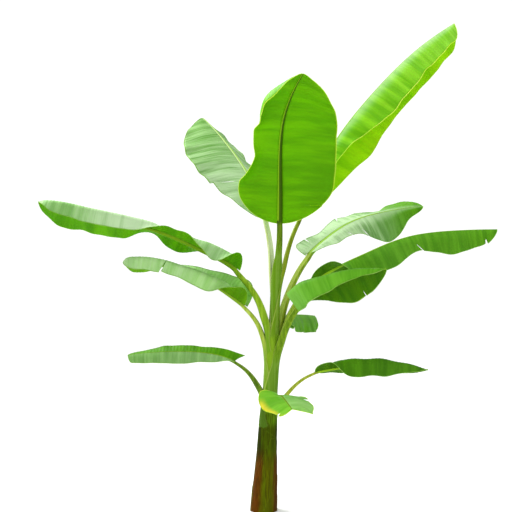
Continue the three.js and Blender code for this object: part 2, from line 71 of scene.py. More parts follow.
# One row for each leaf, oldest first. Left and right are seen looking to the tip.
#   foot            height, azimuth and offset of the root from the stem's axis
#   stalk, blade    lengths
#   pitch, heading  of the rib: along the stalk, along the blade
#   width, shape    largest half width, and its share along the blade: left, right
#   fold            how far each half drops from the rib (less than 0: it rises)
#   curl            how much further each half bends on its way to the margin
#   ends            how much of the blade rounds off at its base and closes at its tip
#   thick           radius of the stalk at its root and at the blade, and of the rib's tip
#   back            how far each half's margin reaches back past the base
LEAVES = {
    "low_left": dict(
        foot=(0.455, 180, 0.013), stalk=0.268, blade=0.495, pitch=([84, 67, 48, 27], [24, 8, 0, -4, -8]),
        heading=([180, 180, 178, 176], 176), width=(0.058, 0.052),
        shape=([0.2, 0.75, 0.9, 1.1, 1.0, 0.9, 0.75], [0.95, 0.85, 0.8, 0.86, 0.82, 0.5, 0.4]),
        fold=([30, 50, 50, 50, 45], [-60, -40, -36, -30, -10]), curl=(20, 0), ends=(0, 0.04),
        thick=(0.029, 0.009, 0.0025), back=(0, 0.030)),
    "low_right": dict(
        foot=(0.430, -10, 0.024), stalk=0.275, blade=0.505,
        pitch=([68, 55, 40, 20], [14, 9, 4, 1, -1, -4, -12]), heading=([0, -4, -5, -5], -5),
        width=(0.080, 0.108),
        shape=([0.6, 1, 1, 0.8], [0.42, 0.55, 1.12, 1.38, 1.2, 1.32, 0.85, 0.7, 0.55]),
        fold=([20, 20, 20, 20, 25, 30], [-62, -72, -75, -75, -75, -72, -60, -20]),
        curl=(10, [0, 60, 158, 170, 170, 168, 130, 40]), ends=(0.1, 0.3), thick=(0.018, 0.008, 0.0025)),
    "small_front": dict(
        foot=(0.448, -72, 0.020), stalk=0.172, blade=0.125, pitch=([62, 36, 0], [-6, -20, -28, -32]),
        heading=([-72, -74, -74, -70], [-69, -66, -62, -58]), width=(0.142, 0.120),
        shape=([0.5, 0.8, 1.0, 1.0], [0.85, 0.98, 0.78, 0.45]),
        fold=([-8, -4, 0, 4], [-40, -15, 5, 20, 30]), curl=(20, 25), ends=(0.15, 0.1),
        thick=(0.015, 0.007, 0.002)),
    "mid_right": dict(
        foot=(0.580, -30, 0.020), stalk=0.385, blade=0.480,
        pitch=([88, 77, 62, 47], [38, 32, 27.5, 24, 15, 4, -4]),
        heading=([-30, -38, -40, -38], [-38, -38, -37, -36]), width=(0.110, 0.130),
        shape=([0.1, 0.65, 1.2, 1.05, 0.75], [1.62, 1.62, 1.3, 0.95, 0.66, 0.45, 0.3]),
        fold=([40, 58, 65, 60, 50], [-95, -84, -62, -42, -12, 30]), curl=(10, [190, 170, 155, 135, 85, 30]),
        ends=(0, 0.28), thick=(0.028, 0.013, 0.003), back=(0, -0.018)),
    "mid_left": dict(
        foot=(0.620, 180, 0.022), stalk=0.337, blade=0.590,
        pitch=([92, 88, 75, 55, 41], [36, 34, 27, 20, 12, 5, 0]),
        heading=([165, 170, 174, 176], [176, 178, 180]), width=(0.115, 0.100),
        shape=([0.8, 1, 1.2, 1.1, 0.9, 0.95, 1.0, 0.95], [1.35, 0.95, 0.66, 0.7, 1, 1]),
        fold=([-70, -75, -70, -65, -62, -68, -62, -50], [-80, -62, -55, -30, 0, 20, 20]),
        curl=([0, 80, 160, 160, 150, 150, 130, 100], 10), ends=(0.12, 0.07), thick=(0.024, 0.011, 0.003),
        back=(0.008, 0.020)),
    "mid_back": dict(
        foot=(0.620, 85, 0.024), stalk=0.342, blade=0.445, pitch=([84, 66, 38, 6], [3, -3, -4, -6]),
        heading=([85, 79, 73, 70], [70, 68, 66, 65]), width=(0.110, 0.110), shape=(1, 0.9),
        fold=([10, 20, 20, 20], [40, 50, 50, 40]), curl=(30, 30), ends=(0.3, 0.2),
        thick=(0.020, 0.009, 0.003)),
    "long_right": dict(
        foot=(0.660, 12, 0.020), stalk=0.400, blade=0.915,
        pitch=([86, 75, 60, 42], [38, 29, 24, 24, 18, 9, 4, 2, 0]),
        heading=([10, 6, 4, 6], [6, 6, 5, 3, 0]), width=(0.120, 0.130),
        shape=([0.8, 0.9, 0.8, 1, 1], [0.4, 0.45, 0.9, 0.94, 0.95, 0.7, 0.85, 0.95, 0.72, 0.55]),
        fold=([35, 40, 20, 20, 20], [-75, -65, 42, 50, 50, 45, 50, 50, 50, 45]), curl=(20, 20),
        ends=(0.1, 0.1), thick=(0.022, 0.011, 0.003)),
    "long_left": dict(
        foot=(0.655, -150, 0.006), stalk=0.478, blade=0.945,
        pitch=([88, 87, 74, 54, 46], [36, 25, 25, 20.5, 14.5, 10.5, 12.5, 14.5, 12]),
        heading=([190, 184, 180, 178], [178, 180, 180, 180, 180]), width=(0.110, 0.110),
        shape=([0.7, 1.3, 1.3, 0.9, 0.42, 0.6, 0.97, 1.05, 1.1, 1.13, 1.08, 1.02, 1.05],
               [0.45, 0.45, 0.6, 0.76, 0.86, 0.62, 0.6, 1.0, 1.18, 1.15, 1.15, 1.1, 1.05]),
        fold=([-75, -80, -78, -68, -60, -75, -75, -75, -75, -75, -75, -70, -60],
              [-35, -35, 0, 38, 40, 15, 40, 40, 36, 36, 40, 40, 40]),
        curl=([0, 128, 122, 62, 0, 95, 158, 168, 168, 162, 155, 140, 90], 5), ends=(0.06, 0.14),
        thick=(0.038, 0.015, 0.003), back=(0.020, 0)),
    "upper_right": dict(
        foot=(0.700, 35, 0.022), stalk=0.505, blade=0.690,
        pitch=([88, 79, 68, 57, 46], [40, 34, 30, 21, 14, 10, 8, 4]),
        heading=([34, 32, 34, 34], [34, 30, 26, 22, 20]), width=(0.130, 0.140),
        shape=([0.72, 0.44, 0.6, 0.68, 0.68, 0.85, 1.1], [0.2, 0.5, 0.5, 0.65, 1.15, 1.03, 0.52, 0.45]),
        fold=([-45, -40, -30, -20, -12, -25, -40], [-10, 15, 35, 45, 50, 45, 40]), curl=(15, 25),
        ends=(0.04, 0.28), thick=(0.024, 0.0145, 0.003), back=(0.016, 0)),
    "tall_right": dict(
        foot=(0.760, 0, 0.016), stalk=0.580, blade=1.142,
        pitch=([88, 85, 77, 63], [63, 66, 64, 55, 50, 47, 43, 36.5, 31]),
        heading=([30, 16, 8, 6], [6, 6, 6, 2, -2, -6]), width=(0.180, 0.180),
        shape=([0.6, 0.6, 0.8, 1, 0.92, 0.87, 0.84, 0.76, 0.6],
               [0.4, 0.35, 0.4, 0.58, 0.85, 0.88, 0.8, 0.68, 0.55]),
        fold=([70, 80, 75, 68, 45], [20, 35, 42, 42, 42]), curl=(10, 15), ends=(0.2, 0.06),
        thick=(0.020, 0.012, 0.003)),
    "tall_back": dict(
        foot=(0.760, 80, 0.014), stalk=0.560, blade=0.715, pitch=([89, 89, 85, 66], [66, 52, 44, 40, 34]),
        heading=([100, 125, 127, 125], [125, 128, 130, 132]), width=(0.245, 0.180),
        shape=([0.55, 0.78, 0.98, 0.93, 0.82], 1), fold=([0, 0, 0, 5, 10], [46, 36, 28, 26, 26]),
        curl=(20, 0), ends=(0.35, 0.45), thick=(0.022, 0.012, 0.003)),
    "tall_front": dict(
        foot=(0.760, -60, 0.010), stalk=0.530, blade=0.760, pitch=([87, 86, 86, 82], [82, 68, 54, 40, 30]),
        heading=([0, -10, -60, -84], [-84, -92, -86, -72, -66]), width=(0.235, 0.180),
        shape=([0.86, 1.04, 1.04, 1.0, 1.0], [1, 1.1, 1.02, 0.74, 0.66, 0.74, 1.05, 1.4, 1.5]),
        fold=([-8, -8, -8, 0, 10], [-5, -15, -15, -10, 0]), curl=(25, [-10, -10, 0, 30, 35, 25]),
        ends=(0.22, 0.42), thick=(0.024, 0.013, 0.003)),
}
print("leaves, oldest first:", ", ".join(LEAVES))

# %% [markdown]
# ## What wind and age did to each leaf, and its painted sheen
#
# Two leaves of one plant never look alike: older ones are ragged, some margins roll,
# and the upper face is pale in places, from wax and from a painted reflection of the
# white surround. These are the features that are too fine for the solids, so they are
# listed apart and default to nothing.
#
# * wax_and_sheen: how pale wax and painted reflection of the white surround make the upper face, along the
#   blade
# * wax_and_sheen_by_half: how much of that pale coat the left and the right half keep
# * contrast and sheen_near_rib: how much the pale coat varies, and how much painted highlight there is by
#   the rib
# * yellow: how much of the right half's margin has turned yellow
# * ripple: how many degrees the margin swings up and down, and the length of a wave
# * pleat: depth of the broad waves between the veins, in metres
# * tears: side, share along the blade, depth, gap in metres, how far the flaps part
# * rolls: side, from and to share, extra degrees of bend from mid-width to the margin

# %% Wear and painted sheen of each leaf
WEAR_AND_SHEEN = {
    "low_left": dict(wax_and_sheen=[0.38, 0.38, 0.34, 0.3], wax_and_sheen_by_half=(1, 0.0), ripple=(5, 0.12)),
    "low_right": dict(wax_and_sheen=[0.0, 0.02, 0.05, 0.05], ripple=(6, 0.15)),
    "small_front": dict(wax_and_sheen=[0.3, 0.35, 0.35, 0.3], wax_and_sheen_by_half=(1.15, 0.5), yellow=1.0, ripple=(10, 0.10),
                        tears=[(0, 0.35, 0.3, 0.006, 8), (1, 0.85, 0.25, 0.006, 10)]),
    "mid_right": dict(wax_and_sheen=[0.2, 0.12, 0.1, 0.1], ripple=(5, 0.13), tears=[(0, 0.64, 0.22, 0.008, 8)]),
    "mid_left": dict(wax_and_sheen=[0.35, 0.45, 0.55, 0.55, 0.6], ripple=(5, 0.16),
                     tears=[(0, 0.655, 0.75, 0.014, 30)]),
    "mid_back": dict(wax_and_sheen=0.0, ripple=(10, 0.14)),
    "long_right": dict(wax_and_sheen=[0.02, 0.05, 0.1, 0.08, 0.08, 0.05], ripple=(8, 0.17),
                       tears=[(1, 0.55, 0.5, 0.010, 14), (1, 0.93, 0.4, 0.012, 10)]),
    "long_left": dict(wax_and_sheen=[0.6, 0.5, 0.6, 0.85, 0.85, 0.6, 0.42, 0.45], ripple=(5, 0.15)),
    "upper_right": dict(wax_and_sheen=[0.8, 0.9, 0.74, 0.36, 0.1, 0.0], contrast=0.4, sheen_near_rib=0.35,
                        ripple=(6, 0.16), tears=[(1, 0.30, 0.4, 0.008, 10), (1, 0.42, 0.5, 0.010, 12),
                                                 (0, 0.08, 0.5, 0.008, 5), (0, 0.33, 0.4, 0.010, 8)]),
    "tall_right": dict(wax_and_sheen=[0.0, 0.0, 0.06, 0.1, 0.15], wax_and_sheen_by_half=(3, 1), contrast=0.5, sheen_near_rib=0.35,
                       ripple=(6, 0.17), pleat=0.0013),
    "tall_back": dict(wax_and_sheen=[1.0, 1.0, 0.5, 0.36, 0.3], ripple=(4, 0.13), contrast=0.5,
                      tears=[(0, 0.28, 0.6, 0.020, 16)]),
    "tall_front": dict(wax_and_sheen=[0.3, 0.1, 0.0], ripple=(4, 0.20), tears=[(0, 0.10, 0.5, 0.003, 3)],
                       rolls=[(1, 0.19, 0.50, 80), (1, 0.52, 1.05, 60)], pleat=0.0012),
}
DEFAULT_WEAR_AND_SHEEN = dict(wax_and_sheen_by_half=(1, 1), contrast=0.25, sheen_near_rib=0.0, yellow=0.0, pleat=0.0008, tears=[], rolls=[])
LEAVES = {name: {"back": (0, 0), **row, **DEFAULT_WEAR_AND_SHEEN, **WEAR_AND_SHEEN[name]} for name, row in LEAVES.items()}
print("tears:", sum(len(row["tears"]) for row in LEAVES.values()))

# %% [markdown]
# ## The rule that shapes a leaf
#
# A leaf could be modelled by hand from a plane, but twelve of them that must keep to
# given curves are better made by one rule. The rib is a curve of short steps, each in
# the direction that pitch and heading give. At every point of it three directions are
# known: along the rib, up from the leaf's upper face, and out to the right. The whole
# leaf hangs on these. The rule works on whole arrays at once, which keeps it fast.

# %% Smooth keys and the rib
RIB_STEPS = 480
STALK_TAPER = 1.6        # over 1: a stalk loses most of its thickness near its root
RIB_TAPER = 0.9          # near 1: a rib thins evenly
BASE_POWER = 2.2         # 2 rounds a blade's base like an ellipse, more makes it squarer
TIP_POWER = 2.4          # the same for the tip
TIP_BLUNT = 0.65         # 0.5 is a rounded tip, 1 a pointed one


def keyed(keys, t):
    """Smooth curve through equally spaced keys for an array t from 0 to 1, or one value."""
    if np.ndim(keys) == 0:
        return keys + 0 * t
    k = np.asarray(keys, float)
    n = len(k) - 1
    at = np.clip(t, 0, 1) * n
    i = np.minimum(at.astype(int), n - 1)
    f = at - i
    p0, p1, p2, p3 = k[np.maximum(i - 1, 0)], k[i], k[i + 1], k[np.minimum(i + 2, n)]
    return p1 + 0.5 * f * (p2 - p0 + f * (2 * p0 - 5 * p1 + 4 * p2 - p3 + f * (3 * (p1 - p2) + p3 - p0)))


def smooth(low, high, x):
    """0 below low, 1 above high, with a soft start and end."""
    t = np.clip((x - low) / (high - low), 0, 1)
    return t * t * (3 - 2 * t)


def stem_axis(z):
    z = np.asarray(z, float)
    return np.stack([STEM_LEAN * z, 0 * z, z], -1)


def stem_radius(z):
    heights, radii = zip(*STEM_PROFILE)
    return np.interp(z, heights, radii)


class Leaf:
    def __init__(self, name, row):
        self.name = name
        self.row = row
        self.length = row["stalk"] + row["blade"]
        self.split = row["stalk"] / self.length
        height, azimuth, offset = row["foot"]
        turn = math.radians(azimuth)
        start = stem_axis(height) + offset * np.array([math.cos(turn), math.sin(turn), 0])
        along, _, _ = self.axes((np.arange(RIB_STEPS) + 0.5) / RIB_STEPS)
        steps = np.vstack([start, along * self.length / RIB_STEPS])
        self.points = np.cumsum(steps, axis=0)

    def angle(self, keys, t):
        on_stalk = keyed(keys[0], t / self.split)
        on_blade = keyed(keys[1], (t - self.split) / (1 - self.split))
        return np.radians(np.where(t < self.split, on_stalk, on_blade))

    def axes(self, t):
        """Directions along the rib, up from the upper face and to the right."""
        t = np.asarray(t, float)
        pitch = self.angle(self.row["pitch"], t)
        heading = self.angle(self.row["heading"], t)
        cp, sp, ch, sh = np.cos(pitch), np.sin(pitch), np.cos(heading), np.sin(heading)
        along = np.stack([cp * ch, cp * sh, sp], -1)
        up = np.stack([-sp * ch, -sp * sh, cp], -1)
        return along, up, np.cross(along, up)

    def rib(self, t):
        at = np.linspace(0, 1, RIB_STEPS + 1)
        return np.stack([np.interp(t, at, self.points[:, k]) for k in range(3)], -1)

    def radius(self, t):
        root, base, tip = self.row["thick"]
        on_stalk = base + (root - base) * (1 - np.clip(t / self.split, 0, 1)) ** STALK_TAPER
        blade_share = np.clip((t - self.split) / (1 - self.split), 0, 1)
        on_blade = base + (tip - base) * blade_share ** RIB_TAPER
        return np.where(t < self.split, on_stalk, on_blade)

    def half_width(self, s, side):
        """Rounded base (square where its length is 0), full middle, closing tip."""
        base, tip = self.row["ends"]
        b = np.clip(1 - s / base, 0, 1) if base else 0 * s
        e = np.clip((s - (1 - tip)) / tip, 0, 1)
        outline = (1 - b ** BASE_POWER) ** 0.5 * (1 - e ** TIP_POWER) ** TIP_BLUNT
        return self.row["width"][side] * keyed(self.row["shape"][side], s) * outline


leaves = [Leaf(name, row) for name, row in LEAVES.items()]
print("ribs end at heights", [round(float(leaf.points[-1][2]), 2) for leaf in leaves])

# %% [markdown]
# ## From arrays to meshes
#
# Building faces one by one in Python is slow. Here a piece is an array of corners, an
# array of faces and a few named values on the corners, and Blender reads each array
# in one go. The named values (attributes) tell the materials and the Geometry Nodes
# where on the leaf a point lies, whatever shape the leaf has taken.

# %% Mesh helper
def make_mesh(name, points, quads, values, uv=None):
    """Mesh from corner positions, four-cornered faces and float attributes on the corners."""
    mesh = bpy.data.meshes.new(name)
    quads = np.asarray(quads, np.int32)
    mesh.vertices.add(len(points))
    mesh.vertices.foreach_set("co", np.asarray(points, np.float32).ravel())
    mesh.loops.add(quads.size)
    mesh.loops.foreach_set("vertex_index", quads.ravel())
    mesh.polygons.add(len(quads))
    mesh.polygons.foreach_set("loop_start", np.arange(0, quads.size, 4, dtype=np.int32))
    for key, numbers in values.items():
        attribute = mesh.attributes.new(key, "FLOAT", "POINT")
        attribute.data.foreach_set("value", np.asarray(numbers, np.float32).ravel())
    if uv is not None:
        layer = mesh.uv_layers.new(name="surface")
        layer.data.foreach_set("uv", np.asarray(uv, np.float32)[quads.ravel()].ravel())
    mesh.update(calc_edges=True)
    mesh.validate()
    mesh.polygons.foreach_set("use_smooth", np.ones(len(mesh.polygons), bool))
    return mesh


def place(name, data):
    """Object from a mesh, a lamp or a camera, linked into the scene."""
    piece = bpy.data.objects.new(name, data)
    bpy.context.scene.collection.objects.link(piece)
    return piece


def apply_modifiers(piece):
    """Turns a piece with modifiers into a plain mesh."""
    graph = bpy.context.evaluated_depsgraph_get()
    plain = bpy.data.meshes.new_from_object(piece.evaluated_get(graph), preserve_all_data_layers=True,
                                            depsgraph=graph)
    piece.modifiers.clear()
    old = piece.data
    piece.data = plain
    plain.name = piece.name
    bpy.data.meshes.remove(old)


def skin_faces(rings, flip=False):
    """Faces over rings of corners, and two lids. Flipped for rings that turn the other way."""
    rows, n = rings.shape[:2]
    index = np.arange(rows * n).reshape(rows, n)
    onward = np.roll(index, -1, axis=1)
    sides = np.stack([index[:-1], onward[:-1], onward[1:], index[1:]], -1).reshape(-1, 4)
    k = np.arange(n // 2 - 1)
    lid = np.stack([k, k + 1, n - 2 - k, n - 1 - k], -1)
    if flip:
        return np.vstack([sides[:, [0, 3, 2, 1]], index[0][lid], index[-1][lid][:, ::-1]])
    return np.vstack([sides, index[-1][lid], index[0][lid][:, ::-1]])


print("mesh helpers ready")

# %% [markdown]
# ## The blade as a sheet
#
# A blade is a strip on each side of the rib. Across the strip we walk from the rib
# outwards in small steps and turn a little at each one, so the strip bends but never
# stretches, as a real leaf does. The turn adds up the fold at the rib, the steady
# curl, the ripple of the margin and any rolled edge. A tear is two rows of corners at
# the same place: joined near the rib, apart beyond the tear's root.

# %% Rows of corners along a blade
ROW_STEP = 0.0026        # metres between two rows
COLUMNS = 18             # steps from the rib to the margin
VEIN_SWEEP = 0.05        # how far forward the veins reach the margin, share of the blade
VEIN_CURVE = 1.4         # veins leave the rib square and bend forward later
TEAR_REACH = 0.045       # metres along the rib over which a torn flap bends away
CURL_REACH = (0.1, 0.65)  # the curl happens between these shares of the way to the margin
LOBE_REACH = 0.25        # share of the blade whose margin reaches back past the base
BEND_WIDTH = 0.030       # halves narrower than this bend less
SECOND_WAVE = (0.6, 0.57)  # height and length of a second ripple, as shares of the first
RIB_COVER = 0.8          # the blade starts inside the rib, at this share of its radius
LEAST_WIDTH = 0.0006     # metres of blade beside the rib where it is narrowest
LEAST_STEP = 0.0004      # the same for the whole way out from the rib's side
RIPPLE_POWER = 1.5       # over 1: a ripple grows faster near the margin
ROLL_FADE = 0.35         # share of half a roll's length before it starts to fade
ROLL_START = 0.45        # share of the way to the margin where a roll begins


def blade_rows(leaf, side):
    """Shares of the rows, tears doubled, and for each tear the first row of its far flap."""
    count = int(leaf.row["blade"] / ROW_STEP)
    shares = list(np.linspace(0, 1, count + 1))
    tears = sorted(t for t in leaf.row["tears"] if t[0] == side)
    far = []
    for _, share, *_ in tears:
        nearest = min(range(len(shares)), key=lambda k: abs(shares[k] - share))
        shares.insert(nearest, shares[nearest])
        far.append(nearest + 1)
    return np.array(shares), tears, far


def blade_half(leaf, side, rng):
    """Corners of one half of the blade, the values on them, and its tears."""
    row = leaf.row
    shares, tears, far = blade_rows(leaf, side)
    s = shares[:, None]
    u = np.linspace(0, 1, COLUMNS + 1)[None, :]
    sweep = VEIN_SWEEP * np.sin(np.pi * s)
    margin = s + sweep - row["back"][side] / row["blade"] * np.clip(1 - s / LOBE_REACH, 0, 1) ** 2
    position = s + (margin - s) * u ** VEIN_CURVE
    lift = np.zeros_like(position)
    index = np.arange(len(shares))[:, None]
    for (_, share, depth, gap, part), first in zip(tears, far):
        away = np.where(index >= first, 1.0, -1.0)
        near = np.exp(-np.abs(s - share) * row["blade"] / TEAR_REACH)
        opened = np.clip((u - (1 - depth)) / depth, 0, 1)
        position = position + away * near * opened * 0.5 * gap / row["blade"]
        lift = lift + away * near * opened * part
    wave_height, wave_length = row["ripple"]
    metres = position * row["blade"]
    phase, second = rng.uniform(0, 2 * math.pi, 2)
    wave = (np.sin(2 * np.pi * metres / wave_length + phase)
            + SECOND_WAVE[0] * np.sin(2 * np.pi * metres / (wave_length * SECOND_WAVE[1]) + second))
    width = leaf.half_width(s + sweep * np.clip(s / LOBE_REACH, 0, 1), side)
    bend = np.clip(width / BEND_WIDTH, 0, 1) * smooth(*CURL_REACH, u)
    turn = keyed(row["fold"][side], position) + keyed(row["curl"][side], position) * bend
    turn = turn + wave_height * wave * u ** RIPPLE_POWER + lift
    for roll_side, start, end, degrees in row["rolls"]:
        if roll_side == side:
            middle, half = (start + end) / 2, (end - start) / 2
            window = 1 - smooth(ROLL_FADE, 1.0, np.abs(position - middle) / half)
            turn = turn + degrees * window * smooth(ROLL_START, 1.0, u + 0 * s)
    t = leaf.split + np.clip(position, 0, 1) * (1 - leaf.split)
    edge = RIB_COVER * leaf.radius(t)
    width = np.maximum(width, edge[:, :1] + LEAST_WIDTH)
    step = np.maximum(width - edge, LEAST_STEP) / COLUMNS
    angle = np.radians((turn[:, 1:] + turn[:, :-1]) / 2)
    pad = np.zeros((len(shares), 1))
    across = np.hstack([pad, np.cumsum(np.cos(angle), 1)]) * step
    drop = np.hstack([pad, np.cumsum(np.sin(angle), 1)]) * step
    along, up, right = leaf.axes(t)
    out = right if side == 1 else -right
    behind = np.minimum(position, 0) * row["blade"]
    points = (leaf.rib(t) + along * behind[..., None] + out * (edge + across)[..., None]
              - up * drop[..., None])
    # The pale coat on each corner: wax and painted reflection of the white surround
    values = dict(share=u + 0 * s, along=metres, across=u * width,
                  wax_and_sheen=keyed(row["wax_and_sheen"], position) * row["wax_and_sheen_by_half"][side], tip=position)
    return points, values, tears, far


print("blade rule ready")

# %% Faces of a blade
def blade_sheet(leaf, seed):
    """Both halves as one mesh of quads whose normals point up from the upper face."""
    rng = np.random.default_rng(seed)
    points, quads, values, uv, start = [], [], {}, [], 0
    for side in (0, 1):
        grid, fields, tears, far = blade_half(leaf, side, rng)
        rows, columns = grid.shape[:2]
        number = start + np.arange(rows * columns).reshape(rows, columns)
        skip = np.zeros(rows - 1, bool)
        for (_, _, depth, *_), first in zip(tears, far):
            root = int(round((1 - depth) * COLUMNS))
            number[first, :root + 1] = number[first - 1, :root + 1]
            skip[first - 1] = True
        a, b = number[:-1, :-1], number[:-1, 1:]
        c, d = number[1:, 1:], number[1:, :-1]
        ring = (a, b, c, d) if side == 1 else (a, d, c, b)
        quads.append(np.stack(ring, -1)[~skip].reshape(-1, 4))
        points.append(grid.reshape(-1, 3))
        fields["hem"] = (fields["share"] > 0.999).astype(float)
        fields["half"] = np.full(grid.shape[:2], float(side))
        sign = 1 if side == 1 else -1
        uv.append(np.stack([fields["along"].ravel(), sign * fields.pop("across").ravel()], -1))
        for key, numbers in fields.items():
            values.setdefault(key, []).append(numbers.ravel())
        start += rows * columns
    points, quads, uv = np.vstack(points), np.vstack(quads), np.vstack(uv)
    values = {key: np.concatenate(parts) for key, parts in values.items()}
    used, inverse = np.unique(quads, return_inverse=True)
    values = {key: numbers[used] for key, numbers in values.items()}
    return make_mesh("sheet_" + leaf.name, points[used], inverse.reshape(quads.shape), values, uv[used])


sheets = [blade_sheet(leaf, seed) for seed, leaf in enumerate(leaves)]
print("sheets:", sum(len(sheet.polygons) for sheet in sheets), "quads")

# %% [markdown]
# ## Veins, by Geometry Nodes
#
# The veins of a banana leaf run side by side from the rib to the margin, and the
# blade between them is slightly pleated. This repeats along the leaf and follows its
# surface, which is what Geometry Nodes are for. One tree serves all twelve leaves: it
# pushes each corner along the normal by a fine wave (one pleat per vein) and by a
# slow, uneven noise that makes broad bands swell. Spacing, depth and seed are inputs.

# %% Node helpers
class Signal:
    """A node's output that can be used in sums. Each sum adds one Math node."""

    def __init__(self, socket):
        self.socket = socket
        self.tree = socket.id_data

    def math(self, operation, *others):
        return signal(self.tree, "ShaderNodeMath", dict(enumerate((self, *others))), operation=operation)

    def __add__(self, other):
        return self.math("ADD", other)

    def __sub__(self, other):
        return self.math("SUBTRACT", other)

    def __rsub__(self, other):
        return signal(self.tree, "ShaderNodeMath", {0: other, 1: self}, operation="SUBTRACT")

    def __mul__(self, other):
        return self.math("MULTIPLY", other)

    def __truediv__(self, other):
        return self.math("DIVIDE", other)

    def spread(self, low, high, to_low=0.0, to_high=1.0):
        """Map Range node with soft ends."""
        return signal(self.tree, "ShaderNodeMapRange", {0: self, 1: low, 2: high, 3: to_low, 4: to_high},
                      interpolation_type="SMOOTHSTEP")


def feed(value, socket):
    """Links a signal to an input, or sets the input to a plain value."""
    if isinstance(value, Signal):
        value.tree.links.new(value.socket, socket)
    else:
        socket.default_value = value


def wire(tree, kind, inputs=None, **settings):
    """Adds a node. Inputs are plain values or signals, by name or number."""
    node = tree.nodes.new(kind)
    for key, value in settings.items():
        setattr(node, key, value)
    for key, value in (inputs or {}).items():
        feed(value, node.inputs[key])
    return node


def signal(tree, kind, inputs=None, output=0, **settings):
    """Adds a node whose output, the first or a named one, goes on as a signal."""
    return Signal(wire(tree, kind, inputs, **settings).outputs[output])


def noise(place, scale, detail=2.0, roughness=0.5):
    return signal(place.tree, "ShaderNodeTexNoise", {"Vector": place, "Scale": scale, "Detail": detail,
                                                     "Roughness": roughness})


def new_group(name, kind, inputs, outputs):
    """Empty node group, the signals that come in, and the sockets that go out."""
    tree = bpy.data.node_groups.new(name, kind)
    for label, (socket, value) in inputs.items():
        item = tree.interface.new_socket(label, in_out="INPUT", socket_type="NodeSocket" + socket)
        if value is not None:
            item.default_value = value
    for label, socket in outputs.items():
        tree.interface.new_socket(label, in_out="OUTPUT", socket_type="NodeSocket" + socket)
    given = {socket.name: Signal(socket) for socket in tree.nodes.new("NodeGroupInput").outputs}
    return tree, given, tree.nodes.new("NodeGroupOutput").inputs


def floats(**values):
    """Float inputs of a group; an underscore in a name stands for a space."""
    return {label.replace("_", " "): ("Float", value) for label, value in values.items()}


def geometry_tree(name, inputs):
    """Empty Geometry Nodes tree: one geometry in and out, a finish and other named inputs."""
    inputs = {"Geometry": ("Geometry", None), **inputs, "Finish": ("Material", None)}
    return new_group(name, "GeometryNodeTree", inputs, {"Geometry": "Geometry"})


def end_tree(geometry, given, result):
    """Last nodes of a Geometry Nodes tree: real meshes in place of instances, and their finish."""
    real = signal(geometry.tree, "GeometryNodeRealizeInstances", {"Geometry": geometry})
    done = signal(geometry.tree, "GeometryNodeSetMaterial", {"Geometry": real, "Material": given["Finish"]})
    feed(done, result["Geometry"])


def field(tree, name):
    """A float attribute of the corners, by its name."""
    return signal(tree, "GeometryNodeInputNamedAttribute", {"Name": name}, "Attribute", data_type="FLOAT")


def add_tree(piece, tree, values):
    """Puts a tree on a piece and sets its inputs by their identifiers."""
    modifier = piece.modifiers.new(tree.name, "NODES")
    modifier.node_group = tree
    for item in tree.interface.items_tree:
        if item.item_type == "SOCKET" and item.in_out == "INPUT" and item.name in values:
            modifier[item.identifier] = values[item.name]


# %% The vein tree
VEIN_FADE = 6.0          # the pleats reach full depth one sixth of the way to the margin
SWELL_ACROSS = 0.6       # how fast the broad bands change on their way to the margin
SEED_SHIFT = 7.3         # far apart in the noise, so that no two leaves
HALF_SHIFT = 11.0        # and no two halves of one have the same bands


def build_vein_tree():
    tree, given, result = geometry_tree("leaf_veins", floats(
        Vein_spacing=0.015, Vein_depth=0.0004, Band_spacing=0.050, Band_depth=0.001, Seed=0.0))
    along, share, half = [field(tree, name) for name in ("along", "share", "half")]
    pleat = (along / given["Vein spacing"] * (2 * math.pi)).math("SINE") * given["Vein depth"]
    place = signal(tree, "ShaderNodeCombineXYZ", {
        0: along / given["Band spacing"], 1: share * SWELL_ACROSS + given["Seed"] * SEED_SHIFT,
        2: half * HALF_SHIFT})
    band = (noise(place, 1.0) - 0.5) * (given["Band depth"] * 2.0)
    height = (pleat + band) * (share * VEIN_FADE).math("MINIMUM", 1.0)
    offset = signal(tree, "ShaderNodeVectorMath", {0: signal(tree, "GeometryNodeInputNormal"),
                                                   "Scale": height}, operation="SCALE")
    moved = signal(tree, "GeometryNodeSetPosition", {"Geometry": given["Geometry"], "Offset": offset})
    end_tree(moved, given, result)
    return tree


vein_tree = build_vein_tree()
print("vein tree:", len(vein_tree.nodes), "nodes")

# %% [markdown]
# ## The pale hem of a blade
#
# Seen from a distance every blade is drawn with a fine light line: its margin is a
# thin, pale cord that catches the light. A second tree follows the margin of the same
# sheet. It turns the margin's edges into curves, sweeps a small circle along them and
# gives the tubes their finish.

# %% The hem tree
HEM_CORNERS = 6          # corners round the hem: enough for a cord this thin


def build_hem_tree():
    tree, given, result = geometry_tree("leaf_hem", floats(Radius=0.0013, Step=0.005))
    on_margin = signal(tree, "FunctionNodeCompare", {0: field(tree, "hem"), 1: 0.9},
                       data_type="FLOAT", operation="GREATER_THAN")
    curve = signal(tree, "GeometryNodeMeshToCurve", {"Mesh": given["Geometry"], "Selection": on_margin})
    even = signal(tree, "GeometryNodeResampleCurve", {"Curve": curve, "Length": given["Step"]},
                  mode="LENGTH")
    circle = signal(tree, "GeometryNodeCurvePrimitiveCircle", {
        "Resolution": HEM_CORNERS, "Radius": given["Radius"]})
    tube = signal(tree, "GeometryNodeCurveToMesh",
                  {"Curve": even, "Profile Curve": circle, "Fill Caps": True})
    end_tree(signal(tree, "GeometryNodeSetShadeSmooth", {"Geometry": tube}), given, result)
    return tree


hem_tree = build_hem_tree()
print("hem tree:", len(hem_tree.nodes), "nodes")

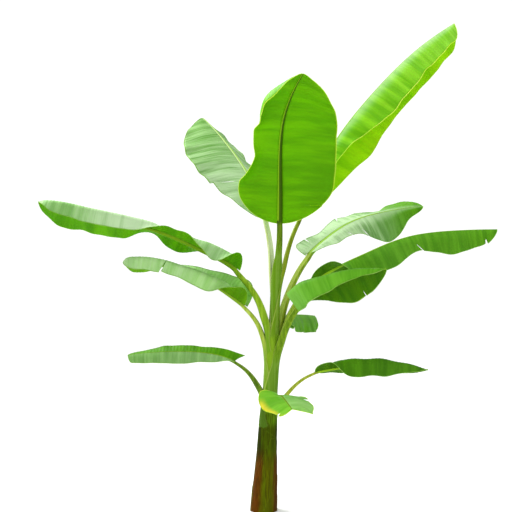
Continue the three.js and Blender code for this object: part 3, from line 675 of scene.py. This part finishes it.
# %% [markdown]
# ## Finishes: shared effects first
#
# Colour on a leaf follows its veins, and colour on a stalk or sheath runs in streaks
# along its length. Both patterns are needed in several materials, so each is built
# once as a shader node group and placed with its own values. Blender's materials take
# linear colour, so a helper turns the familiar 0 to 255 values into it.

# %% Colour and group helpers
def tone(red, green, blue):
    """Linear colour of an everyday 0 to 255 colour."""
    linear = [((c / 255 + 0.055) / 1.055) ** 2.4 if c > 10 else c / 255 / 12.92 for c in (red, green, blue)]
    return (*linear, 1.0)


def paint(mask, first, second, *layers):
    """Mixes two colours by a mask, then lays further pairs of mask and colour over them.

    Colours are everyday red, green and blue from 0 to 255, or signals.
    """
    colour = first
    for amount, over in ((mask, second), *layers):
        node = wire(amount.tree, "ShaderNodeMix", {"Factor": amount}, data_type="RGBA")
        for value, socket in ((colour, node.inputs[6]), (over, node.inputs[7])):
            feed(value if isinstance(value, Signal) else tone(*value), socket)
        colour = Signal(node.outputs[2])
    return colour


def bump(height, distance, strength):
    return signal(height.tree, "ShaderNodeBump", {"Height": height, "Distance": distance,
                                                  "Strength": strength})


def axes_of(vector):
    """The x, y and z of a vector."""
    return [Signal(socket) for socket in wire(vector.tree, "ShaderNodeSeparateXYZ", {0: vector}).outputs]


def build_vein_group():
    """Broad uneven bands and fine lines across the blade, from its UV map in metres."""
    tree, given, result = new_group("vein_pattern", "ShaderNodeTree", floats(
        Band_length=0.035, Vein_spacing=0.0075, Seed=0.0),
        dict(Bands="Float", Lines="Float", Height="Float"))
    along, across, _ = axes_of(signal(tree, "ShaderNodeUVMap", uv_map="surface"))
    rest = {1: across * 3.0, 2: given["Seed"] * 3.7}
    bands_at = signal(tree, "ShaderNodeCombineXYZ", {0: along / given["Band length"], **rest})
    lines_at = signal(tree, "ShaderNodeCombineXYZ", {0: along / given["Vein spacing"], **rest})
    lines = noise(lines_at, 1.0)
    feed(noise(bands_at, 1.0, 3.0, 0.55).spread(0.32, 0.68), result["Bands"])
    feed(lines.spread(0.3, 0.7), result["Lines"])
    feed(lines, result["Height"])
    return tree


def build_streak_group():
    """Streaks and threads along a stalk or sheath, and blotches, by the place in the object."""
    tree, given, result = new_group("streak_pattern", "ShaderNodeTree", floats(
        Streak_width=0.006, Streak_length=0.25, Seed=0.0),
        dict(Streaks="Float", Threads="Float", Blotches="Float"))
    place = signal(tree, "ShaderNodeTexCoord", output="Object")
    x, y, z = axes_of(place)
    width = given["Streak width"]
    stretched = signal(tree, "ShaderNodeCombineXYZ", {
        0: x / width + given["Seed"] * 0.31, 1: y / width, 2: z / given["Streak length"]})
    feed(noise(stretched, 0.35).spread(0.35, 0.65), result["Streaks"])
    feed(noise(stretched, 2.6), result["Threads"])
    feed(noise(place, 38.0, 3.0).spread(0.55, 0.75), result["Blotches"])
    return tree


vein_group = build_vein_group()
streak_group = build_streak_group()
print("shader groups:", vein_group.name, streak_group.name)

# %% [markdown]
# ## Leaf finishes
#
# The upper face is deep green under a pale coat, part wax and part painted reflection
# of the white surround, that varies in bands between the veins. The underside is a
# brighter yellow-green, partly its own colour and partly painted light of the sky that
# comes through the thin blade. A plain glossy material would look like plastic: part of
# the light is therefore passed on by a Translucent shader mixed with the Principled
# one. Each finish takes its own greens, so the young upright leaves glow by painted
# backlight and the old low ones stay dull, partly by painted shade.

# %% Blade materials
LEAF_GLOSS = 0.08        # a matt blade: hardly any mirror of the white surround
LET_THROUGH = (0.25, 0.45, 0.3)  # share of the light: upper face, underside, hem
MARGIN = (0.975, 0.995)  # shares of the way to the margin between which its own colour starts
# Pale coat of the upper face: wax and painted reflection of the white surround
PALE_WAX_AND_SHEEN = (196, 224, 178)


def new_material(name):
    material = bpy.data.materials.new(name)
    material.use_nodes = True
    material.node_tree.nodes.clear()
    return material, material.node_tree


def place_group(tree, shared, **values):
    """Puts a shader group in a material and gives back its outputs, in order."""
    node = wire(tree, "ShaderNodeGroup", node_tree=shared)
    for label, value in values.items():
        node.inputs[label.replace("_", " ")].default_value = value
    return [Signal(socket) for socket in node.outputs]


def attributes(tree, *names):
    return [signal(tree, "ShaderNodeAttribute", output="Fac", attribute_name=name) for name in names]


def leaf_shader(colour, rough, through, **normal):
    """Principled shader mixed with light that comes through the blade, with or without a Normal."""
    tree = colour.tree
    face = signal(tree, "ShaderNodeBsdfPrincipled", {"Base Color": colour, "Roughness": rough,
                                                     "Specular IOR Level": LEAF_GLOSS, **normal})
    back = signal(tree, "ShaderNodeBsdfTranslucent", {"Color": colour, **normal})
    both = signal(tree, "ShaderNodeMixShader", {0: through, 1: face, 2: back})
    wire(tree, "ShaderNodeOutputMaterial", {0: both})


def yellowing(tree, amount):
    """Mask of a margin that turns yellow on the right half, most in the middle of the leaf."""
    position, half, share = attributes(tree, "tip", "half", "share")
    shoulder = position.spread(0.22, 0.42, 0.05, 1.0) * position.spread(0.72, 0.95, 1.0, 0.25)
    return share.spread(0.66, 0.97) * (half * shoulder) * amount


def blade_upper(name, deep, bright, edge_tone, seed, look):
    material, tree = new_material(name)
    bands, lines, height = place_group(tree, vein_group, Band_length=0.030, Vein_spacing=0.006, Seed=seed)
    share, wax_and_sheen = attributes(tree, "share", "wax_and_sheen")
    # Pale coat: wax and painted reflection of the white surround, in bands, with a painted highlight by the
    # rib
    banding = (bands * 0.7 + lines * 0.3 - 0.5) * (2 * look["contrast"])
    cover = wax_and_sheen * (banding + 1.0) + share.spread(0.02, 0.45, look["sheen_near_rib"], 0.0)
    layers = [(cover.spread(0.0, 1.0), PALE_WAX_AND_SHEEN), (share.spread(*MARGIN), edge_tone),
              (share.spread(0.0, 0.04, 0.4, 0.0), (186, 214, 110))]
    if look["yellow"]:
        layers.insert(1, (yellowing(tree, look["yellow"]), (240, 228, 70)))
    colour = paint(bands, deep, bright, *layers)
    rough = lines.spread(0.0, 1.0, 0.40, 0.52)
    leaf_shader(colour, rough, LET_THROUGH[0], Normal=bump(height, 0.0005, 0.4))
    return material


def blade_under(name, deep, bright, seed, look):
    material, tree = new_material(name)
    bands, _, height = place_group(tree, vein_group, Band_length=0.045, Vein_spacing=0.007, Seed=seed)
    share = attributes(tree, "share")[0]
    layers = [(share.spread(*MARGIN), (176, 220, 40))]
    if look["yellow"]:
        layers.insert(0, (yellowing(tree, look["yellow"]), (235, 220, 60)))
    relief = bump(height, 0.0006, 0.4)
    leaf_shader(paint(bands, deep, bright, *layers), 0.55, LET_THROUGH[1], Normal=relief)
    return material


def hem_material(name, first, second):
    material, tree = new_material(name)
    patches = noise(signal(tree, "ShaderNodeTexCoord", output="Object"), 14.0)
    leaf_shader(paint(patches.spread(0.35, 0.65), first, second), 0.5, LET_THROUGH[2])
    return material


pale_hem = hem_material("hem_pale", (204, 240, 60), (224, 246, 96))
green_hem = hem_material("hem_green", (128, 182, 56), (160, 204, 96))
print("hem finishes:", pale_hem.name, green_hem.name)

# %% [markdown]
# ## Blades
#
# Now the sheet, the veins and the finishes meet. The vein tree relieves the sheet, a
# Solidify modifier gives it one millimetre of thickness downwards and hands the new
# faces the underside's material, and the result is turned into a plain mesh. The hem
# is a second piece from the same sheet, so it follows every ripple and tear.

# %% Build the blades
SHEET = 0.0010           # thickness of a blade
# The bright undersides of the young upright leaves hold painted light coming through the blade; the darker
# underside of mid_right, and low_right's dark greens, are partly painted shade
GREENS = {               # upper deep, upper bright, under deep, under bright
    "young_backlit": ((104, 184, 2), (136, 212, 14), (102, 174, 0), (126, 198, 0)),
    "newest_backlit": ((104, 176, 0), (138, 206, 10), (158, 222, 0), (188, 238, 8)),
    "grown": ((84, 160, 4), (108, 184, 20), (82, 154, 0), (108, 180, 4)),
    "grown_shaded_under": ((84, 160, 4), (108, 184, 20), (66, 126, 0), (92, 150, 0)),
    "fresh": ((110, 188, 8), (138, 212, 30), (98, 158, 0), (120, 180, 4)),
    "old": ((74, 140, 2), (96, 164, 10), (66, 122, 0), (92, 150, 6)),
    "oldest": ((60, 116, 0), (80, 142, 6), (66, 122, 0), (92, 150, 6)),
}
# Which greens each leaf takes: by its age, by painted backlight and by painted shade
GREEN_SET_OF_LEAF = dict(tall_right="newest_backlit", tall_front="young_backlit", small_front="young_backlit", mid_right="grown_shaded_under",
           mid_left="fresh", long_right="old", upper_right="old", tall_back="old",
           low_left="old", low_right="oldest", mid_back="old")


def build_blade(leaf, sheet, seed):
    green_set = GREEN_SET_OF_LEAF.get(leaf.name, "grown")
    deep, bright, under_deep, under_bright = GREENS[green_set]
    hem_finish, edge_tone = green_hem, (150, 200, 90)
    if green_set in ("young_backlit", "newest_backlit"):
        hem_finish, edge_tone = pale_hem, (204, 232, 96)
    upper = blade_upper("upper_" + leaf.name, deep, bright, edge_tone, seed, leaf.row)
    under = blade_under("under_" + leaf.name, under_deep, under_bright, seed, leaf.row)
    piece = place("blade_" + leaf.name + "_veined", sheet)
    add_tree(piece, vein_tree, {"Band depth": leaf.row["pleat"], "Seed": float(seed), "Finish": upper})
    apply_modifiers(piece)
    hem = place("hem_" + leaf.name, piece.data.copy())
    add_tree(hem, hem_tree, {"Finish": hem_finish})
    apply_modifiers(hem)
    piece.data.materials.append(under)
    thick = piece.modifiers.new("thickness", "SOLIDIFY")
    thick.thickness = SHEET
    thick.offset = -1
    thick.material_offset = 1
    thick.material_offset_rim = 1
    apply_modifiers(piece)
    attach(piece, "root")
    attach(hem, "root")
    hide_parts("blade_" + leaf.name)
    return piece, hem


blades = [build_blade(leaf, sheet, seed) for seed, (leaf, sheet) in enumerate(zip(leaves, sheets))]
print("blade faces:", sum(len(piece.data.polygons) + len(hem.data.polygons) for piece, hem in blades))

# %% [markdown]
# ## Sheath, stalk and rib in one sweep
#
# Low down, a leaf is a thin sheath wrapped round the pseudostem. Higher up it
# narrows into a stalk with a deep channel, and past the base of the blade it is a
# half-round rib. Three separate pieces would show seams, so one section is swept
# along the whole way: each ring is a mix of three shapes, and the weights of the mix
# slide from sheath to stalk to rib. Younger leaves grow inside older ones, so a
# sheath lies one step deeper for every older sheath still wrapped round it.

# %% The rings of a limb
KEEL = 1.3               # depth of the rib under the blade, in stalk radii
SHEATH_STEP = 0.0014     # radius lost for each older sheath outside
SHEATH_LENGTH = 0.22     # metres of sheath shown below the root of the leaf
SHEATH_THICK = (0.0006, 0.0018)  # metres at its free edges, and what its middle adds
COVERED = (0.05, 0.01)   # metres below and above a leaving point over which a sheath ends
COLLAR = (0.355, 0.405)  # heights between which the living sheaths come out of the dead ones
COLLAR_DEPTH = 0.007     # how deep they lie below it
COLLAR_TILT = 0.018      # the collar is this much higher on one side than in the middle
LEAVING = 0.12           # metres below the leaving point where a sheath starts to gather
LEFT = 0.05              # metres above it where the stalk has its own round section
LEAVING_RADIUS = 0.95    # a leaf has left where its stalk's middle is this share of the radius out
OPENING = 450            # degrees by which a sheath's wrap widens per metre downwards
WRAP = (50, 165)         # least and most degrees from a sheath's middle to its free edge
STALK_WRAP = 118         # degrees from the middle of a stalk's back to the edge of its channel
CHANNEL = (0.92, 0.04, 0.85)  # half width, lip and depth of a stalk's channel, in its radii
CHANNEL_POWER = 2.4      # more makes the channel's floor flatter
RIB_TOP = (0.9, 0.05, 0.3)  # half width, height and groove of the rib's top, in its radii
RIB_START = (0.03, 0.02)  # metres before and past the blade's base where stalk becomes rib
LIMB_STEP = 0.006
ARC = 15                 # corners across the back of a limb, and as many across its inside

# Sheaths whose leaves are gone, oldest first: height of the edge, azimuth of its highest
# point, and degrees round the stem over which it falls by a metre.
OLD_SHEATHS = [dict(top=0.165, azimuth=-10, opening=450), dict(top=0.255, azimuth=100, opening=450),
               dict(top=0.325, azimuth=-60, opening=520), dict(top=0.385, azimuth=-150, opening=1900)]


def leaving_height(leaf):
    """Share of the limb, and height, where the stalk's middle comes out of the stem."""
    t = np.linspace(0, leaf.split, 200)
    rib = leaf.rib(t)
    apart = np.linalg.norm((rib - stem_axis(rib[:, 2]))[:, :2], axis=1)
    first = int(np.argmax(apart > LEAVING_RADIUS * stem_radius(rib[:, 2])))
    return t[first], rib[first, 2]


departures = [leaving_height(leaf) for leaf in leaves]


def depth_inside(number, z):
    """How deep a leaf's sheath lies: one step for each older sheath, and under the old collar."""
    older = [1 - smooth(out - COVERED[0], out + COVERED[1], z) for _, out in departures[:number]]
    return SHEATH_STEP * sum(older) + COLLAR_DEPTH * (1 - smooth(*COLLAR, z))


def mixed(weights, shapes):
    return sum(w[:, None, None] * one for w, one in zip(weights, shapes))


def shape(centre, x_axis, y_axis, x, y):
    """Corners of each ring: x and y along two axes from its centre."""
    return centre[:, None, :] + x_axis[:, None, :] * x[..., None] + y_axis[:, None, :] * y[..., None]


def limb_rings(number, leaf):
    """Back and inside of each ring, and how far each ring is sheath and rib."""
    t_out, z_out = departures[number]
    q = np.append(np.arange(-SHEATH_LENGTH, leaf.length, LIMB_STEP), leaf.length)
    t = np.clip(q / leaf.length, 0, 1)
    rib = leaf.rib(t)
    z = np.where(q < 0, leaf.row["foot"][0] + q, rib[:, 2])
    _, up, right = leaf.axes(t)
    r = leaf.radius(t)[:, None]
    heading = leaf.angle(leaf.row["heading"], np.array([t_out]))[0]
    inward = np.tile([-math.cos(heading), -math.sin(heading), 0], (len(q), 1))
    sideways = np.tile([math.sin(heading), -math.cos(heading), 0], (len(q), 1))
    q_out, q_base = t_out * leaf.length, leaf.split * leaf.length
    gathered = smooth(q_out - LEAVING, q_out + LEFT, q)
    to_rib = smooth(q_base - RIB_START[0], q_base + RIB_START[1], q)
    weights = (1 - gathered, gathered * (1 - to_rib), gathered * to_rib)
    phi = np.linspace(-1, 1, ARC)[None, :]
    opened = WRAP[0] + OPENING * (z_out - 0.5 * LEAVING - z)
    wrap = np.radians(np.clip(opened, *WRAP))[:, None] * phi
    tilted = z[:, None] - COLLAR_TILT * np.cos(heading - wrap)
    outer = stem_radius(z)[:, None] - depth_inside(number, tilted)
    inner = outer - SHEATH_THICK[0] - SHEATH_THICK[1] * (1 - phi ** 2)
    around = np.radians(STALK_WRAP)
    stalk_share = np.clip(t / leaf.split, 0, 1)[:, None]
    stalk = rib - up * (0.5 * KEEL * r * stalk_share)
    width, lip, depth = CHANNEL
    channel = -math.cos(around) - lip - depth * (1 - np.abs(phi) ** CHANNEL_POWER)
    top_width, top, groove = RIB_TOP
    backs = [shape(stem_axis(z), sideways, inward, outer * np.sin(wrap), -outer * np.cos(wrap)),
             shape(stalk, right, up, r * np.sin(around * phi), -r * np.cos(around * phi)),
             shape(rib, right, up, r * np.sin(np.pi / 2 * phi), -KEEL * r * np.cos(np.pi / 2 * phi))]
    insides = [shape(stem_axis(z), sideways, inward, inner * np.sin(wrap), -inner * np.cos(wrap)),
               shape(stalk, right, up, r * width * math.sin(around) * phi, r * channel),
               shape(rib, right, up, r * top_width * phi, r * (top - groove * (1 - phi ** 2)))]
    return mixed(weights, backs), mixed(weights, insides), weights[0], weights[2]


def build_limb(number, leaf):
    back, inside, sheath, midrib = limb_rings(number, leaf)
    rings = np.concatenate([back, inside[:, ::-1]], axis=1)
    every = np.ones(rings.shape[:2])
    across = np.linspace(-1, 1, ARC)
    values = dict(sheath=sheath[:, None] * every, midrib=midrib[:, None] * every,
                  around=np.append(across, across[::-1]) * every,
                  inside=np.repeat([0.0, 1.0], ARC) * every)
    mesh = make_mesh("limb_" + leaf.name, rings.reshape(-1, 3), skin_faces(rings, flip=True), values)
    return place("limb_" + leaf.name, mesh)


limbs = [build_limb(number, leaf) for number, leaf in enumerate(leaves)]
print("stalks leave the stem at heights", [round(float(height), 2) for _, height in departures])

# %% [markdown]
# ## The pseudostem
#
# Below the lowest leaves the pseudostem shows the sheaths of leaves that have died.
# Their free edges run obliquely down and round it like overlapping scarves. One
# closed skin is enough for this: it lies a little outside the stem's own radius at the
# foot and loses one sheath step for each old sheath that no longer covers the spot.
# Fine ribs run along every sheath.

# %% Skin of the pseudostem
STEM_COLUMNS = 240
STEM_ROW = 0.003
RIB_DEPTH = 0.00035      # fine ribs along a sheath
RIBS_AROUND = 52
SKIN_OUT = 2.0           # sheath steps by which the foot lies outside the stem's radius
SHEATH_EDGE = 0.004      # height over which a sheath's edge thins out, and its pale line fades
SHEATH_FLAT = 12         # degrees to each side of its highest point where an edge is level
EDGE_WAVE = 0.003        # metres by which an edge swings up and down
DOME = 0.02              # height of the dome that closes the skin among the stalks
DOME_RINGS = 8
FOOT_RINGS = (0.03, 0.25, 0.5, 0.75)  # shares of the foot's radius, for the flat cut


def below_edge(old, angle, z):
    """How far below an old sheath's edge the spot lies; less than 0 above it."""
    middle = math.radians(old["azimuth"])
    off = np.degrees(np.abs((angle - middle + np.pi) % (2 * np.pi) - np.pi))
    edge = old["top"] - np.maximum(off - SHEATH_FLAT, 0) / old["opening"]
    return edge + EDGE_WAVE * np.sin(2 * angle + 9 * middle) - z


def build_pseudostem():
    shoulder = STEM_TOP - DOME
    angle = np.linspace(0, 2 * np.pi, STEM_COLUMNS, endpoint=False)[None, :]
    z = np.append(np.arange(0, shoulder, STEM_ROW), shoulder)[:, None] + 0 * angle
    gaps = np.stack([below_edge(old, angle, z) for old in OLD_SHEATHS])
    bare = sum(1 - smooth(0, SHEATH_EDGE, gap) for gap in gaps)
    ribs = np.cos(RIBS_AROUND * angle + 4 * np.sin(9 * z)) * smooth(0, 0.02, z)
    radius = stem_radius(z) + SHEATH_STEP * (SKIN_OUT - bare) + RIB_DEPTH * ribs
    round_axis = np.stack([np.cos(angle) + 0 * z, np.sin(angle) + 0 * z, 0 * z], -1)
    points = stem_axis(z) + radius[..., None] * round_axis
    middle, rim = stem_axis(shoulder) * [1, 1, 0], points[-1] * [1, 1, 0]
    domes = []
    for k in range(1, DOME_RINGS + 1):
        turn = k / DOME_RINGS * np.pi / 2
        level = middle + (rim - middle) * max(math.cos(turn), 0.03)
        domes.append(level + [0, 0, shoulder + DOME * math.sin(turn)])
    foot = stem_axis(0.0)
    feet = [foot + (points[0] - foot) * share for share in FOOT_RINGS]
    rings = np.concatenate([np.stack(feet), points, np.stack(domes)])
    line = np.exp(-np.min(np.abs(gaps), axis=0) / SHEATH_EDGE)
    edge = np.pad(line, ((len(FOOT_RINGS), DOME_RINGS), (0, 0)))
    mesh = make_mesh("pseudostem_sheaths", rings.reshape(-1, 3), skin_faces(rings), dict(edge=edge))
    return place("pseudostem_sheaths", mesh)


pseudostem = build_pseudostem()
print("pseudostem:", len(pseudostem.data.polygons), "quads")

# %% [markdown]
# ## Finishes of stalks and sheaths
#
# A stalk is smooth yellow-green with faint lengthwise threads and pale along its edges,
# with painted light and shade in its channel and a painted highlight on the lit side of
# its rib. Where it is still a sheath it has a pale bloom, and its free edge dries to
# brown. The old sheaths near the ground are olive and brown, in broad stripes side by
# side round the stem, with painted shade on the side away from the lamp; a cosine of
# the angle round the stem gives them, because it closes on itself without a seam.

# %% Stalk and stem materials
STALK_GLOSS = 0.06
STEM_GLOSS = 0.03
GREEN_STREAK = -78       # degrees round the stem of a green stripe near the ground
SHADED_SIDE = -10          # degrees round the stem of its side with painted shade, away from the lamp
STRIPES = 3.0            # green stripes round the foot of the stem
THREAD_SHIFT = 2.4       # how far the threads bend the stripes' edges
STEM_TONES = {           # height from which a pair of tones holds, dark and light
    0.00: ((88, 104, 0), (100, 54, 0)),
    0.27: ((24, 44, 0), (68, 88, 2)),
    0.40: ((58, 94, 2), (92, 130, 14)),
    0.52: ((92, 138, 8), (130, 168, 36)),
}


def plain_shader(colour, rough, gloss, relief):
    """Principled shader alone: no light comes through a stalk or the stem."""
    face = signal(colour.tree, "ShaderNodeBsdfPrincipled", {
        "Base Color": colour, "Roughness": rough, "Normal": relief, "Specular IOR Level": gloss})
    wire(colour.tree, "ShaderNodeOutputMaterial", {0: face})


def limb_material(name, deep, bright, rib_tone, inner, sheath_tone, seed):
    material, tree = new_material(name)
    streaks, threads, blotches = place_group(
        tree, streak_group, Streak_width=0.004, Streak_length=0.20, Seed=seed)
    sheath, midrib, around, inside = attributes(tree, "sheath", "midrib", "around", "inside")
    height = axes_of(signal(tree, "ShaderNodeTexCoord", output="Object"))[2]
    away = around.math("ABSOLUTE")
    low = height.spread(0.42, 0.52, 0.85, 0.0) * sheath
    wax = sheath.spread(0.1, 0.9) * streaks.spread(0.0, 1.0, 0.0, 0.3)
    lit = around.spread(0.15, 0.45) * midrib.spread(0.9, 1.0, 0.0, 0.8)
    # Painted light and shade in the channel: each stalk's channel tone stands for the light that reaches it
    shade = inside.spread(0.2, 0.8, 0.0, 0.7) * midrib.spread(0.2, 0.8, 1.0, 0.0)
    pale = away.spread(0.86, 0.97, 0.0, 0.35) * midrib.spread(0.0, 0.6, 1.0, 0.2) * (1.0 - low)
    dry = away.spread(0.93, 0.99) * sheath.spread(0.3, 0.9) * blotches.spread(0.0, 0.5, 0.15, 0.9)
    colour = paint(
        streaks, deep, bright,
        (threads.spread(0.42, 0.62, 0.0, 0.15), (176, 196, 80)),
        (sheath.spread(0.0, 0.8, 0.0, 0.75), sheath_tone),
        (wax, (132, 160, 78)),
        (low, (66, 98, 8)),
        (midrib.spread(0.3, 1.0, 0.0, 0.85), rib_tone),
        (lit, (140, 190, 24)),
        (shade, inner),
        (pale, (198, 216, 110)),
        (dry, (118, 92, 30)))
    plain_shader(colour, streaks.spread(0.0, 1.0, 0.45, 0.58), STALK_GLOSS, bump(threads, 0.0012, 0.6))
    return material


def stem_material():
    material, tree = new_material("pseudostem_streaks")
    streaks, threads, _ = place_group(tree, streak_group, Streak_width=0.006, Streak_length=0.5, Seed=5.0)
    x, y, z = axes_of(signal(tree, "ShaderNodeTexCoord", output="Object"))
    angle = y.math("ARCTAN2", x - z * STEM_LEAN)
    wave = ((angle - math.radians(GREEN_STREAK)) * STRIPES).math("COSINE") * -1.0
    wave = wave + (threads - 0.5) * THREAD_SHIFT
    # Painted shade on the side of the stem turned away from the lamp
    shaded_side = (angle - math.radians(SHADED_SIDE)).math("COSINE")
    edge = attributes(tree, "edge")[0]
    (_, foot), (collar, middle), (living, high), (crown, top) = STEM_TONES.items()
    # The foot: green and brown stripes with red-brown streaks, and painted shade on its side away from the
    # lamp
    low = paint(wave.spread(-0.5, 0.6), *foot, (streaks * 0.3, (86, 44, 2)),
                (shaded_side.spread(0.72, 0.96, 0.0, 0.45), (46, 36, 0)))
    colour = paint(
        z.spread(collar - 0.08, collar + 0.03), low, paint(streaks, *middle),
        (z.spread(living - 0.035, living + 0.01), paint(streaks, *high)),
        (z.spread(crown - 0.05, crown + 0.02), paint(streaks, *top)),
        (edge.spread(0.4, 0.95, 0.0, 0.3), (110, 130, 40)),
        (threads.spread(0.38, 0.62) * z.spread(living, crown, 0.6, 0.12), (46, 34, 2)))
    plain_shader(colour, streaks.spread(0.0, 1.0, 0.5, 0.7), STEM_GLOSS, bump(threads, 0.002, 0.7))
    return material


STALK_TONES = {          # deep, bright, rib seen from below, channel with its painted light and shade
    "tall_front": ((66, 98, 0), (88, 120, 4), (44, 78, 0), (96, 132, 16)),
    "tall_right": ((92, 110, 6), (124, 144, 24), (150, 196, 40), (206, 216, 130)),
    "tall_back": ((194, 208, 138), (222, 232, 188), (196, 218, 160), (216, 230, 192)),
    "long_left": ((100, 142, 8), (132, 170, 30), (96, 138, 4), (128, 160, 40)),
    "upper_right": ((116, 140, 14), (150, 176, 50), (130, 172, 60), (196, 212, 116)),
    "mid_left": ((132, 158, 36), (166, 188, 78), (110, 150, 20), (150, 172, 70)),
    "low_left": ((54, 88, 0), (92, 126, 18), (96, 134, 10), (70, 106, 6)),
    "low_right": ((126, 140, 20), (160, 172, 56), (104, 130, 14), (140, 156, 48)),
    "mid_right": ((80, 116, 4), (116, 152, 20), (96, 138, 10), (140, 166, 50)),
}
PLAIN_STALK = ((104, 140, 16), (140, 170, 44), (100, 142, 16), (120, 150, 40))
# low_left's dark sheath tone is painted shade: the inside of its sheath, where it clasps the stem, lies in
# shadow
SHEATH_TONES = {"low_left": (34, 70, 0), "mid_right": (84, 130, 4)}
PLAIN_SHEATH = (98, 144, 12)


def finish_limb(number, leaf, piece):
    tones = STALK_TONES.get(leaf.name, PLAIN_STALK)
    sheath_tone = SHEATH_TONES.get(leaf.name, PLAIN_SHEATH)
    piece.data.materials.append(limb_material("stalk_" + leaf.name, *tones, sheath_tone, float(number)))
    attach(piece, "root")
    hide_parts("stalk_" + leaf.name)


for number, (leaf, piece) in enumerate(zip(leaves, limbs)):
    finish_limb(number, leaf, piece)

pseudostem.data.materials.append(stem_material())
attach(pseudostem, "root")
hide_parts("pseudostem")
print("finished", len(limbs), "limbs and the pseudostem")

# %% [markdown]
# ## Floor, light and camera
#
# The plant stands on a plain pale floor in an even white studio. A white surround
# gives soft light from all sides, and one large lamp above and behind gives the
# blades their gradients and makes the upright ones glow. The camera stands level, a
# little below the middle of the crown, far enough away for a natural view.

# %% Studio
CAMERA_PLACE = (-0.03375, -4.5, 1.143)
LENS = 70.3125
FLOOR_HALF = 40.0        # metres: far enough for its end never to show
FLOOR_TONE = (0.93, 0.93, 0.93, 1)
WORLD_STRENGTH = 1.1     # light of the white surround
LAMP = dict(position=(-2.2, 1.4, 4.6), target=(0, 0, 1.2), size=2.5, power=260)


def build_floor():
    corners = np.array([(-1, -1, 0), (1, -1, 0), (1, 1, 0), (-1, 1, 0)]) * FLOOR_HALF
    floor = place("studio_floor", make_mesh("studio_floor", corners, [[0, 1, 2, 3]], {}))
    material, tree = new_material("studio_floor")
    face = signal(tree, "ShaderNodeBsdfPrincipled", {"Base Color": FLOOR_TONE, "Roughness": 0.9})
    wire(tree, "ShaderNodeOutputMaterial", {0: face})
    floor.data.materials.append(material)


def add_lamp(name, position, target, size, power):
    data = bpy.data.lights.new(name, "AREA")
    data.shape = "DISK"
    data.size = size
    data.energy = power
    lamp = place(name, data)
    lamp.location = position
    lamp.rotation_euler = (Vector(target) - Vector(position)).to_track_quat("-Z", "Y").to_euler()


def build_studio():
    build_floor()
    world = bpy.data.worlds.new("studio")
    world.use_nodes = True
    surround = world.node_tree.nodes["Background"].inputs
    surround["Color"].default_value = (1, 1, 1, 1)
    surround["Strength"].default_value = WORLD_STRENGTH
    bpy.context.scene.world = world
    add_lamp("key", **LAMP)
    data = bpy.data.cameras.new("camera")
    data.lens = LENS
    data.sensor_width = 36
    camera = place("camera", data)
    camera.location = CAMERA_PLACE
    camera.rotation_euler = (math.pi / 2, 0, 0)
    bpy.context.scene.camera = camera
    bpy.context.scene.view_settings.view_transform = "Standard"


build_studio()
print("camera at", CAMERA_PLACE)
